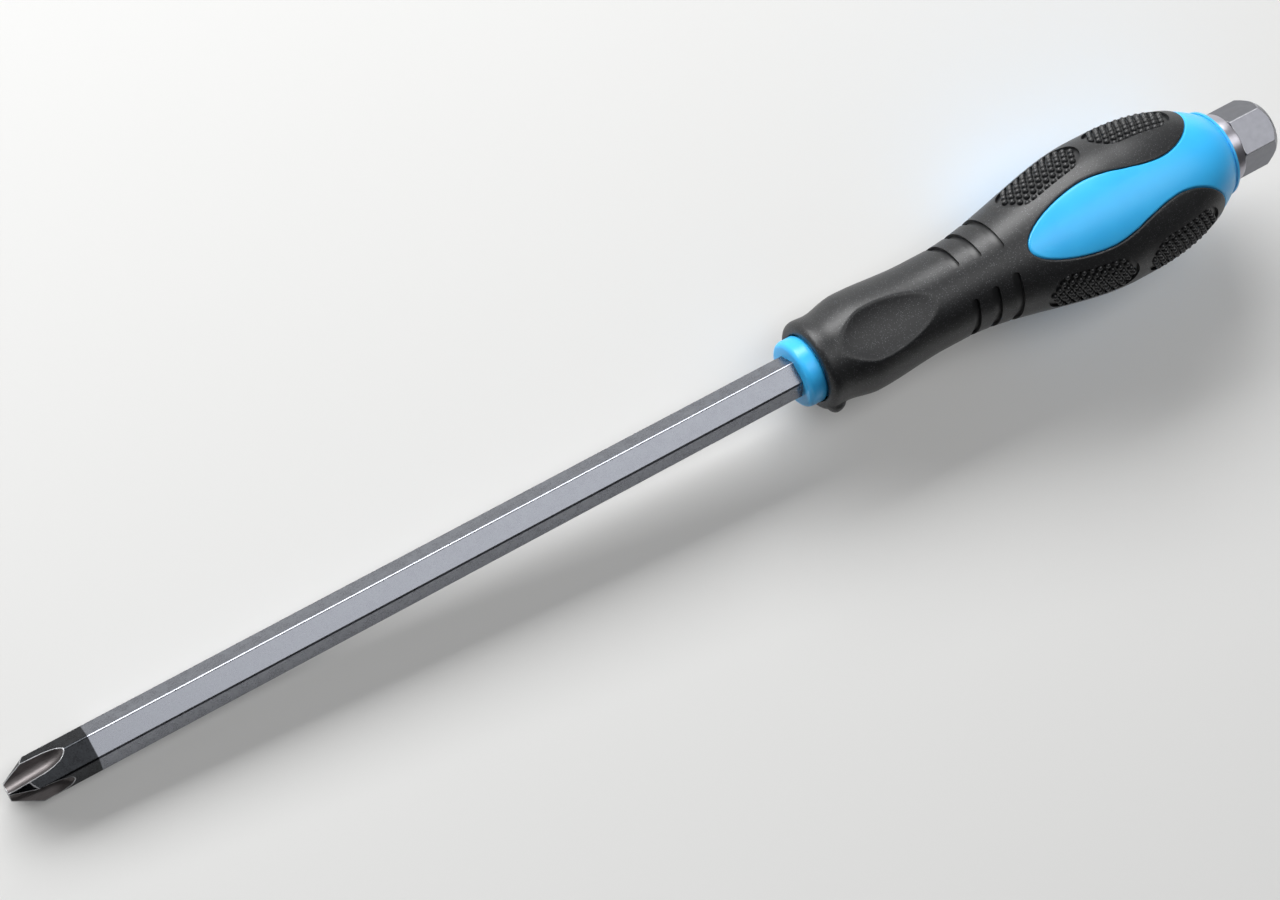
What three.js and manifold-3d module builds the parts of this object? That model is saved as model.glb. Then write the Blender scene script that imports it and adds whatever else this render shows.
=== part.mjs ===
// Cross-head screwdriver: a hexagonal blade that runs through the whole handle to a striking cap,
// a hard plastic core moulded round it, and a soft sleeve over the core with three windows in it.
//
// Millimetres, +Z up. The origin is the middle of the blunt end of the cross point, +X runs from
// the point to the cap, and +Z comes out through the middle of one window. The handle repeats
// three times round the X axis: a window and a thumb dimple at 0, 120 and 240 degrees from +Z,
// and between them a lobe of the sleeve with its grooves and two pads.

import * as THREE from 'three';
import { mergeVertices } from 'three/addons/utils/BufferGeometryUtils.js';
import Module from 'manifold-3d';

const wasm = await Module();
wasm.setup();

// Fit
const FIT_GAP = 0.3; // room between two pieces that nest or seat

// Blade
const BLADE_ACROSS_FLATS = 9.5;
const BLADE_EDGE_ROUND = 0.8; // radius on the six long edges
const BLADE_OUT = 203.6; // from the point to the front of the collar

// Cross point
const POINT_RADIUS = 2.1; // of the blunt end
const POINT_CONE = 28; // slope of the wings' ends, degrees from the axis
const FLUTES = 4;
const FLUTE_TURN = 30; // first flute, degrees from +Z towards +Y
const FLUTE_ROOT = 1.2; // root's distance from the axis at the blunt end
const FLUTE_ROUND = 2; // radius across the root
const FLUTE_SLOPE = 6.5; // root's climb, degrees from the axis
const FLUTE_OPENING = 64; // angle between a flute's two walls, degrees
const FLUTE_STRAIGHT = 8.8; // length of the straight part of the root
const FLUTE_RUNOUT = 8; // radius of the root where it climbs out of the bar

// Core of the handle
const COLLAR_RADIUS = 8.6; // in front of the sleeve and under it
const COLLAR_OUT = 4.4; // length that shows in front of the sleeve
const COLLAR_ROUND = 1.3; // radius on the collar's front edge
const WINDOW_SINK = 0.25; // how far the core lies below the sleeve's surface

// Outline of the handle, from its front to its rim
const LIP_RADIUS = 11.6;
const LIP_ROUND = 1.8; // radius on the sleeve's front edge
const LIP_LENGTH = 4.2; // from the sleeve's front to the waist behind the lip
const WAIST_RADIUS = 11.4;
const SWELL_RISE = 9.8; // length from the waist to the thumb swell
const SWELL_RADIUS = 12.8;
const SWELL_FALL = 20; // length from the thumb swell to the neck
const NECK_RADIUS = 11.7;
const NECK_LENGTH = 6;
const BELLY_RISE = 48; // length from the neck to the belly
const BELLY_RADIUS = 20;
const BELLY_LENGTH = 5;
const DOME_LENGTH = 31.6; // from the belly to the rim
const RIM_WALL = 0.7; // of the rim round the ring

// Roll stop on the lip
const STOP_HEIGHT = 0.8; // above the lip
const STOP_LENGTH = 4.6;
const STOP_WIDTH = 5;
const STOP_ROOT = 1.4; // how deep the stop's middle lies below its top

// Windows and lobes
const REPEATS = 3;
const WINDOW_SETBACK = 19.5; // from the neck's end to the window's front
const WINDOW_NOSE = 18.5; // from the window's front to its widest place
const WINDOW_ANGLE = 29.5; // half the window's angle at its widest place, degrees
const WINDOW_NECK_ANGLE = 16.3; // half its angle at its narrow place, degrees
const LOBE_END = 15.7; // length of a lobe's rounded end, behind the window's narrow place
const LOBE_SETBACK = 8.4; // from the end of the lobes to the rim

// Thumb dimples
const DIMPLE_SETBACK = 4.5; // from the swell to the dimple's middle
const DIMPLE_WALL = 1; // sleeve left under the dimple
const DIMPLE_BALL_LENGTH = 39; // size of the egg that presses the dimple
const DIMPLE_BALL_WIDTH = 24.4;
const DIMPLE_BALL_HEIGHT = 12;

// Grooves and pads, sunk into the lobes
const POCKET_DEPTH = 0.8;
const GROOVES = 3;
const GROOVE_SETBACK = 2.1; // from the neck's end to the first groove
const GROOVE_PITCH = 5.95;
const GROOVE_WIDTH = 2.1;
const GROOVE_ANGLE = 40; // half a groove's angle, degrees
const PAD_MARGIN = 3.6; // from the end of the lobes to the rear pad
const PAD_WIDTH = 12.6;
const REAR_PAD_LENGTH = 23.6;
const FRONT_PAD_LENGTH = 24;
const PAD_SPACING = 3.5; // between the two pads of a lobe

// Ring and striking cap
const RING_RADIUS = 9.2;
const RING_OUT = 3.4; // length that shows behind the rim
const RING_SEAT = 1.5; // depth of the ring's seat in the core
const RING_BEVEL = 0.35;
const CAP_ACROSS_FLATS = 16;
const CAP_EDGE_ROUND = 0.7;
const CAP_LENGTH = 11.7;
const CAP_END_ROUND = 3.4;
const CAP_SOCKET = 6.5; // depth of the socket that takes the end of the blade

// Facets
const TURN_FACETS = 36; // round the tool
const ARC_FACETS = 4; // along a rounded edge
const CURVE_FACETS = 4; // along one stretch of the handle's outline
const EDGE_FACETS = 7; // along one stretch of a window's edge
const BALL_FACETS = 18; // round the egg of a thumb dimple

// Stations along the tool that follow from the sizes
const sleeveFront = BLADE_OUT + COLLAR_OUT;
const waistAt = sleeveFront + LIP_LENGTH;
const swellAt = waistAt + SWELL_RISE;
const neckAt = swellAt + SWELL_FALL;
const neckEnd = neckAt + NECK_LENGTH;
const bellyAt = neckEnd + BELLY_RISE;
const bellyEnd = bellyAt + BELLY_LENGTH;
const rimAt = bellyEnd + DOME_LENGTH;
const lobeEnd = rimAt - LOBE_SETBACK;
const ringFront = rimAt - RING_SEAT + FIT_GAP;
const ringRear = rimAt + RING_OUT;
const capFront = ringRear + FIT_GAP;
const capRear = capFront + CAP_LENGTH;
const bladeRear = capFront + CAP_SOCKET - FIT_GAP;

const rimRadius = RING_RADIUS + FIT_GAP + RIM_WALL;
const sleeveWall = NECK_RADIUS - COLLAR_RADIUS;
const beyond = 2 * BELLY_RADIUS; // reach of a cutter that has to clear the handle

const degrees = THREE.MathUtils.degToRad;

// Solids

/** Turns a closed three.js geometry into a solid that can be cut and joined. */
function solid(geometry) {
  const bare = new THREE.BufferGeometry();
  bare.setAttribute('position', geometry.attributes.position);
  bare.setIndex(geometry.index);
  const merged = mergeVertices(bare);
  const corners = [];
  for (let i = 0; i < merged.index.count; i += 3) {
    const [a, b, c] = [0, 1, 2].map((k) => merged.index.getX(i + k));
    if (a !== b && b !== c && c !== a) corners.push(a, b, c);
  }
  const mesh = new wasm.Mesh({
    numProp: 3,
    vertProperties: new Float32Array(merged.attributes.position.array),
    triVerts: new Uint32Array(corners),
  });
  return new wasm.Manifold(mesh);
}

/** Gives a finished solid back as a named mesh with its material. */
function piece(name, shape, material) {
  const mesh = shape.getMesh();
  const geometry = new THREE.BufferGeometry();
  geometry.setAttribute('position', new THREE.BufferAttribute(new Float32Array(mesh.vertProperties), 3));
  geometry.setIndex(new THREE.BufferAttribute(new Uint32Array(mesh.triVerts), 1));
  geometry.computeVertexNormals();
  const result = new THREE.Mesh(geometry, material);
  result.name = name;
  return result;
}

/** Joins several solids into one. */
function joined(solids) {
  return solids.reduce((whole, next) => whole.add(next));
}

/** Copies of one geometry, evenly round the tool, the first turned by `first` degrees. */
function round(geometry, count, first = 0) {
  const turns = [...Array(count).keys()].map((k) => first + (k * 360) / count);
  return joined(turns.map((turn) => solid(geometry.clone().rotateX(degrees(-turn)))));
}

/** A body turned about the tool's axis from an outline of (station, radius) points. */
function turned(outline) {
  const points = outline.map(([station, radius]) => new THREE.Vector2(Math.max(radius, 0), station));
  const closed = [new THREE.Vector2(0, points[0].y), ...points, new THREE.Vector2(0, points.at(-1).y)];
  return solid(new THREE.LatheGeometry(closed, TURN_FACETS).rotateZ(-Math.PI / 2));
}

/** A hexagonal bar along the tool, with flats facing up and down and its long edges rounded. */
function hexBar(acrossFlats, edgeRound, from, to) {
  const shape = new THREE.Shape();
  const reach = (acrossFlats / 2 - edgeRound) / Math.cos(Math.PI / 6);
  for (let k = 0; k < 6; k++) {
    const corner = Math.PI / 2 + (k * Math.PI) / 3;
    const [u, v] = [reach * Math.cos(corner), reach * Math.sin(corner)];
    shape.absarc(u, v, edgeRound, corner - Math.PI / 6, corner + Math.PI / 6, false);
  }
  const bar = new THREE.ExtrudeGeometry(shape, {
    depth: to - from,
    bevelEnabled: false,
    curveSegments: ARC_FACETS,
  });
  return solid(bar.rotateY(Math.PI / 2).translate(from, 0, 0));
}

/**
 * A prism with walls that point at the tool's axis, from an outline of (station, angle) points
 * in degrees. It runs from close to the axis to well outside the handle.
 */
function radialPrism(outline) {
  const from = BLADE_ACROSS_FLATS / 2;
  const points = outline.map(([station, angle]) => new THREE.Vector2(station, angle));
  const prism = new THREE.ExtrudeGeometry(new THREE.Shape(points), { depth: 1, bevelEnabled: false });
  const place = prism.attributes.position;
  for (let i = 0; i < place.count; i++) {
    const angle = degrees(place.getY(i));
    const radius = from + place.getZ(i) * beyond;
    place.setXYZ(i, place.getX(i), radius * Math.sin(angle), radius * Math.cos(angle));
  }
  return prism;
}

// Outlines

/** Points of a curve, a function of 0 to 1, at even steps. */
function steps(count, curve) {
  return [...Array(count + 1).keys()].map((k) => curve(k / count));
}

/** A smooth climb from (x0, y0) to (x1, y1) that starts and ends level. */
function climb([x0, y0], [x1, y1], count = CURVE_FACETS) {
  return steps(count, (t) => [x0 + (x1 - x0) * t, y0 + (y1 - y0) * t * t * (3 - 2 * t)]);
}

/** A stretch of an ellipse about (x, y), between two angles in degrees. */
function arc([x, y], [a, b], from, to, count = ARC_FACETS) {
  return steps(count, (t) => {
    const angle = degrees(from + (to - from) * t);
    return [x + a * Math.cos(angle), y + b * Math.sin(angle)];
  });
}

const dome = {
  reach: DOME_LENGTH / Math.sqrt(1 - (rimRadius / BELLY_RADIUS) ** 2),
  stop: THREE.MathUtils.radToDeg(Math.asin(rimRadius / BELLY_RADIUS)),
};
const lipBack = [waistAt - (LIP_LENGTH - LIP_ROUND) / 2, LIP_RADIUS];
const belly = [
  ...climb([neckEnd, NECK_RADIUS], [bellyAt, BELLY_RADIUS], 2 * CURVE_FACETS),
  ...arc([bellyEnd, 0], [dome.reach, BELLY_RADIUS], 90, dome.stop, 2 * CURVE_FACETS),
];
const handleOutline = [
  ...arc([sleeveFront + LIP_ROUND, LIP_RADIUS - LIP_ROUND], [LIP_ROUND, LIP_ROUND], 180, 90),
  ...climb(lipBack, [waistAt, WAIST_RADIUS]),
  ...climb([waistAt, WAIST_RADIUS], [swellAt, SWELL_RADIUS]),
  ...climb([swellAt, SWELL_RADIUS], [neckAt, NECK_RADIUS]),
  ...belly,
];

/** An outline moved in towards the axis. */
function sunk(outline, depth) {
  return outline.map(([station, radius]) => [station, radius - depth]);
}

/** Half of a window's outline, from its front to the tip of the lobe beside it, opened by `grow`. */
function windowEdge(grow) {
  const lobe = 180 / REPEATS;
  const wider = THREE.MathUtils.radToDeg(grow / BELLY_RADIUS);
  const widest = neckEnd + WINDOW_SETBACK + WINDOW_NOSE;
  const narrow = lobeEnd - LOBE_END;
  const wide = WINDOW_ANGLE + wider;
  const slim = WINDOW_NECK_ANGLE + wider;
  return [
    ...arc([widest, 0], [WINDOW_NOSE + grow, wide], 180, 90, EDGE_FACETS),
    ...climb([widest, wide], [narrow, slim], EDGE_FACETS),
    ...arc([narrow, lobe], [LOBE_END - grow, lobe - slim], -90, 0, EDGE_FACETS),
  ];
}

/** The windows, open to the rear, where they run into each other behind the lobes. */
function windows(grow) {
  const past = 1.1 * (180 / REPEATS);
  const behind = [[rimAt, past], [ringRear, past]];
  const half = [...windowEdge(grow), ...behind];
  const otherHalf = half.slice(1).map(([station, angle]) => [station, -angle]);
  return round(radialPrism([...otherHalf.reverse(), ...half]), REPEATS);
}

/** A slot with round ends along the tool, on the middle of a lobe. */
function padOutline(front, length) {
  const half = PAD_WIDTH / 2;
  const spread = THREE.MathUtils.radToDeg(half / BELLY_RADIUS);
  const rear = front + length;
  return [
    ...arc([rear - half, 0], [half, spread], -90, 90, 2 * ARC_FACETS),
    ...arc([front + half, 0], [half, spread], 90, 270, 2 * ARC_FACETS),
  ];
}

/** A slot with round ends round the tool, across the middle of a lobe. */
function grooveOutline(middle) {
  const half = GROOVE_WIDTH / 2;
  const end = THREE.MathUtils.radToDeg(half / NECK_RADIUS);
  return [
    ...arc([middle, GROOVE_ANGLE - end], [half, end], 0, 180),
    ...steps(CURVE_FACETS, (t) => [middle - half, (GROOVE_ANGLE - end) * (1 - 2 * t)]).slice(1, -1),
    ...arc([middle, end - GROOVE_ANGLE], [half, end], 180, 360),
    ...steps(CURVE_FACETS, (t) => [middle + half, (GROOVE_ANGLE - end) * (2 * t - 1)]).slice(1, -1),
  ];
}

// Blade

/** A flute's section up to a height, as (across, height) points: a round root between two walls. */
function fluteSection(tall) {
  const lean = FLUTE_OPENING / 2;
  const bend = arc([0, FLUTE_ROUND], [FLUTE_ROUND, FLUTE_ROUND], 180 + lean, 360 - lean, 2 * ARC_FACETS);
  const [across, height] = bend.at(-1);
  const mouth = across + (tall - height) * Math.tan(degrees(lean));
  return [[-mouth, tall], ...bend, [mouth, tall]];
}

/** One flute's cutter: a straight groove that climbs from the point, and a round run-out at its end. */
function fluteCutter() {
  const slope = degrees(FLUTE_SLOPE);
  const root = new THREE.Vector3(Math.cos(slope), 0, Math.sin(slope));
  const out = new THREE.Vector3(-Math.sin(slope), 0, Math.cos(slope));
  const section = fluteSection(FLUTE_RUNOUT / 2);
  const groove = new THREE.Shape(section.map(([across, height]) => new THREE.Vector2(across, height)));
  const lead = FLUTE_RUNOUT;
  const length = lead + FLUTE_STRAIGHT / Math.cos(slope);
  const straight = new THREE.ExtrudeGeometry(groove, { depth: length, bevelEnabled: false });
  const start = new THREE.Vector3(0, 0, FLUTE_ROOT).addScaledVector(root, -lead);
  const frame = new THREE.Matrix4().makeBasis(new THREE.Vector3(0, 1, 0), out, root);
  straight.applyMatrix4(frame.setPosition(start));

  const rim = section.map(([across, height]) => new THREE.Vector2(FLUTE_RUNOUT - height, across));
  const axis = [rim[0], rim.at(-1)].map((end) => new THREE.Vector2(0, end.y));
  const wheel = new THREE.LatheGeometry([axis[0], ...rim, axis[1]], TURN_FACETS);
  const middle = start.addScaledVector(root, length).addScaledVector(out, FLUTE_RUNOUT);
  wheel.translate(middle.x, middle.y, middle.z);
  return [straight, wheel];
}

function makeBlade() {
  const cone = Math.tan(degrees(POINT_CONE));
  const nose = (BLADE_ACROSS_FLATS - POINT_RADIUS) / cone;
  const envelope = turned([[0, POINT_RADIUS], [nose, BLADE_ACROSS_FLATS], [bladeRear, BLADE_ACROSS_FLATS]]);
  const bar = hexBar(BLADE_ACROSS_FLATS, BLADE_EDGE_ROUND, 0, bladeRear);
  const flutes = joined(fluteCutter().map((cutter) => round(cutter, FLUTES, FLUTE_TURN)));
  return bar.intersect(envelope).subtract(flutes);
}

// Handle core

/** Outline of the core under the sleeve, from the collar's front to the rim, opened by `grow`. */
function coreOutline(grow) {
  const radius = COLLAR_RADIUS + grow;
  return [
    ...arc([BLADE_OUT + COLLAR_ROUND, radius - COLLAR_ROUND], [COLLAR_ROUND, COLLAR_ROUND], 180, 90),
    ...sunk(belly, sleeveWall - grow),
  ];
}

function makeCore() {
  const skin = turned(sunk(belly, WINDOW_SINK)).intersect(windows(0));
  const bore = hexBar(
    BLADE_ACROSS_FLATS + 2 * FIT_GAP,
    BLADE_EDGE_ROUND + FIT_GAP,
    BLADE_OUT - COLLAR_OUT,
    ringRear,
  );
  const seat = turned([[rimAt - RING_SEAT, RING_RADIUS + FIT_GAP], [ringRear, RING_RADIUS + FIT_GAP]]);
  return turned(coreOutline(0)).add(skin).subtract(bore).subtract(seat);
}

// Soft sleeve

/** The bump on the lip that keeps the tool from rolling, on the -Y side. */
function rollStop() {
  const ball = new THREE.SphereGeometry(1, BALL_FACETS / 2, BALL_FACETS / 3);
  ball.scale(STOP_LENGTH / 2, STOP_ROOT, STOP_WIDTH / 2);
  const middle = LIP_RADIUS + STOP_HEIGHT - STOP_ROOT;
  return solid(ball.translate(sleeveFront + STOP_LENGTH / 2, -middle, 0));
}

/** The egg-shaped cutter that leaves a thumb dimple in front of each window. */
function dimples() {
  const egg = new THREE.SphereGeometry(1, BALL_FACETS, BALL_FACETS / 2).rotateX(Math.PI / 2);
  egg.scale(DIMPLE_BALL_LENGTH / 2, DIMPLE_BALL_WIDTH / 2, DIMPLE_BALL_HEIGHT / 2);
  const floor = COLLAR_RADIUS + FIT_GAP + DIMPLE_WALL;
  return round(egg.translate(swellAt + DIMPLE_SETBACK, 0, floor + DIMPLE_BALL_HEIGHT / 2), REPEATS);
}

/** The grooves and pads of all lobes, down to one depth below the surface. */
function pockets() {
  const rearPad = lobeEnd - PAD_MARGIN - REAR_PAD_LENGTH;
  const frontPad = rearPad - PAD_SPACING - FRONT_PAD_LENGTH;
  const outlines = [padOutline(rearPad, REAR_PAD_LENGTH), padOutline(frontPad, FRONT_PAD_LENGTH)];
  for (let k = 0; k < GROOVES; k++) {
    outlines.push(grooveOutline(neckEnd + GROOVE_SETBACK + k * GROOVE_PITCH));
  }
  const openings = joined(outlines.map((outline) => round(radialPrism(outline), REPEATS, 180 / REPEATS)));
  return openings.subtract(turned(sunk(handleOutline, POCKET_DEPTH)));
}

function makeSleeve() {
  const body = turned(handleOutline).add(rollStop());
  const inside = turned(coreOutline(FIT_GAP));
  return body.subtract(inside).subtract(windows(FIT_GAP)).subtract(dimples()).subtract(pockets());
}

// Ring and striking cap

function makeRing() {
  const bore = BLADE_ACROSS_FLATS / 2 / Math.cos(Math.PI / 6) + FIT_GAP;
  const hole = turned([[ringFront - RING_OUT, bore], [ringRear + RING_OUT, bore]]);
  const edge = RING_RADIUS - RING_BEVEL;
  const body = turned([
    [ringFront, edge],
    [ringFront + RING_BEVEL, RING_RADIUS],
    [ringRear - RING_BEVEL, RING_RADIUS],
    [ringRear, edge],
  ]);
  return body.subtract(hole);
}

function makeCap() {
  const corner = CAP_ACROSS_FLATS / 2 / Math.cos(Math.PI / 6);
  const envelope = turned([
    [capFront, corner],
    ...arc([capRear - CAP_END_ROUND, corner - CAP_END_ROUND], [CAP_END_ROUND, CAP_END_ROUND], 90, 0),
  ]);
  const socket = hexBar(
    BLADE_ACROSS_FLATS + 2 * FIT_GAP,
    BLADE_EDGE_ROUND + FIT_GAP,
    capFront - RING_OUT,
    capFront + CAP_SOCKET,
  );
  return hexBar(CAP_ACROSS_FLATS, CAP_EDGE_ROUND, capFront, capRear).intersect(envelope).subtract(socket);
}

// Finishes

const satinSteel = new THREE.MeshStandardMaterial({ color: 0x8f9198, roughness: 0.42, metalness: 1 });
const ringSteel = new THREE.MeshStandardMaterial({ color: 0xa7a5b0, roughness: 0.32, metalness: 1 });
const capSteel = new THREE.MeshStandardMaterial({ color: 0x9b9ba3, roughness: 0.45, metalness: 1 });
const bluePlastic = new THREE.MeshStandardMaterial({ color: 0x2fa9ea, roughness: 0.3, metalness: 0 });
const softBlack = new THREE.MeshStandardMaterial({ color: 0x1d1e20, roughness: 0.62, metalness: 0 });

const screwdriver = new THREE.Group();
screwdriver.add(
  piece('blade', makeBlade(), satinSteel),
  piece('handle_core', makeCore(), bluePlastic),
  piece('soft_grip', makeSleeve(), softBlack),
  piece('cap_ring', makeRing(), ringSteel),
  piece('striking_cap', makeCap(), capSteel),
);

export default screwdriver;
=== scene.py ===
"""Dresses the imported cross-head screwdriver and sets it in a plain studio.

Sizes are in millimetres and meshes in metres. +X runs from the point to the striking cap, and +Z
comes out through the middle of one window. Angles round the tool count from +Z towards +Y.
"""
import logging
import math
from contextlib import contextmanager
from dataclasses import dataclass, field
from enum import Enum
from typing import Callable, Iterator, Sequence

import bmesh
import bpy
import numpy as np
from mathutils import Matrix, Vector


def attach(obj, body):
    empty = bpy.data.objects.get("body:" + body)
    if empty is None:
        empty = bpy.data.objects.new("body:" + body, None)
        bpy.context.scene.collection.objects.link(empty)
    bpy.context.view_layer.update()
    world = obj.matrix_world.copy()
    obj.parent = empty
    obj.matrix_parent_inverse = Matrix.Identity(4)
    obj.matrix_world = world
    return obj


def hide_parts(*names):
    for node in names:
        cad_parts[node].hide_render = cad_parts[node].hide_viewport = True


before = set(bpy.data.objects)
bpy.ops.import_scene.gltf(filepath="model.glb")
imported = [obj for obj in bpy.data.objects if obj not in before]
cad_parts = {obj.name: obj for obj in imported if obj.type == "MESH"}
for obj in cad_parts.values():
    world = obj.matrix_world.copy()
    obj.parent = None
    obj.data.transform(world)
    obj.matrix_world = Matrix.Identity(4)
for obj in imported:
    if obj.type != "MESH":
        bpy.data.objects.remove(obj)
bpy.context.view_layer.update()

MM = 0.001
REPEATS = 3  # windows, lobes and dimples round the tool
SECTOR = 360 / REPEATS
MERGE = 2e-6  # metres within which doubled points become one
EDGE_BEVEL_MERGE = 2e-5  # the same before sharp edges are bevelled for wear and painted highlights, to close the slivers that a cut leaves
ALONG = 0.99  # share of an edge that runs along the tool, from which it is a long edge
PLAIN_STEPS = 96  # round a turned solid
FINE_STEPS = 128  # round one whose edges are seen close up
MISS = 99.0  # radius given to a ray that misses a dimple
RELIEF = 0.02  # height of the grain on steel
SHARE, DARK, LIGHT, MIXED = 0, 6, 7, 2  # a colour Mix node's three inputs and its result
LOG = logging.getLogger("screwdriver")

Points = np.ndarray
Outline = Sequence[tuple[float, float]]
Test = Callable[..., bool]
Tree = bpy.types.NodeTree
Node = bpy.types.Node
Socket = bpy.types.NodeSocket
Material = bpy.types.Material


class Cut(Enum):
    """What a boolean does with the second solid."""

    AWAY = "DIFFERENCE"
    COMMON = "INTERSECT"


class Element(Enum):
    """What edit mode selects."""

    EDGE = "edges"
    FACE = "faces"


def linear(code: str) -> tuple[float, float, float, float]:
    """Turns an sRGB hex colour into the linear colour that a shader takes.

    Args:
        code: Six hex digits, with or without a leading hash.

    Returns:
        Red, green, blue and an alpha of one.
    """
    levels = [int(code.lstrip("#")[i : i + 2], 16) / 255 for i in (0, 2, 4)]
    red, green, blue = (v / 12.92 if v <= 0.04045 else ((v + 0.055) / 1.055) ** 2.4 for v in levels)
    return (red, green, blue, 1.0)


def set_inputs(tree: Tree, node: Node, inputs: dict) -> None:
    """Sets a node's input sockets.

    Args:
        tree: The tree that holds the node.
        node: The node.
        inputs: Socket name or number to a value, or to an output socket that is linked to it.
    """
    for key, value in inputs.items():
        if isinstance(value, Socket):
            tree.links.new(value, node.inputs[key])
        else:
            node.inputs[key].default_value = value


def add_node(tree: Tree, kind: str, inputs: dict | None = None, **settings: object) -> Node:
    """Adds a node with its settings, values and links.

    Args:
        tree: The tree that gets the node.
        kind: The node's type name, without the ShaderNode in front.
        inputs: Socket name or number to a value, or to an output socket that is linked to it.
        settings: Properties of the node itself.

    Returns:
        The new node.
    """
    node = tree.nodes.new("ShaderNode" + kind)
    for name, value in settings.items():
        setattr(node, name, value)
    set_inputs(tree, node, inputs or {})
    return node


def ease(t: Points) -> Points:
    """A climb from 0 to 1 that starts and ends level."""
    t = np.clip(t, 0.0, 1.0)
    return t * t * (3 - 2 * t)


def blend_low(a: Points, b: Points, reach: float) -> Points:
    """The lower of two heights, with the corner between them rounded over `reach`."""
    share = np.clip(0.5 + 0.5 * (b - a) / reach, 0.0, 1.0)
    return b + (a - b) * share - reach * share * (1 - share)


def round_tool(x: Points, radius: Points, turn: Points) -> Points:
    """Points at stations, radii and angles round the tool, one row each."""
    return np.stack([x, radius * np.sin(turn), radius * np.cos(turn)], axis=-1)


def from_window(turn: Points) -> Points:
    """Angles from the middle of the nearest window, in degrees."""
    return (np.degrees(turn) + SECTOR / 2) % SECTOR - SECTOR / 2


def hex_corner(across_flats: float) -> float:
    """Radius to the corners of a hexagon."""
    return across_flats / 2 / math.cos(math.pi / 6)


def arc(
    centre: tuple[float, float], radius: float, start: float, stop: float, count: int
) -> list[tuple[float, float]]:
    """Points along a round corner of an outline.

    Args:
        centre: Station and radius of the corner's middle.
        radius: The corner's own radius.
        start: First angle in degrees, from +X outwards.
        stop: Last angle in degrees.
        count: Number of steps.

    Returns:
        Station and radius of each point.
    """
    angles = np.radians(np.linspace(start, stop, count + 1))
    return [(centre[0] + radius * math.cos(a), centre[1] + radius * math.sin(a)) for a in angles]


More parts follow.
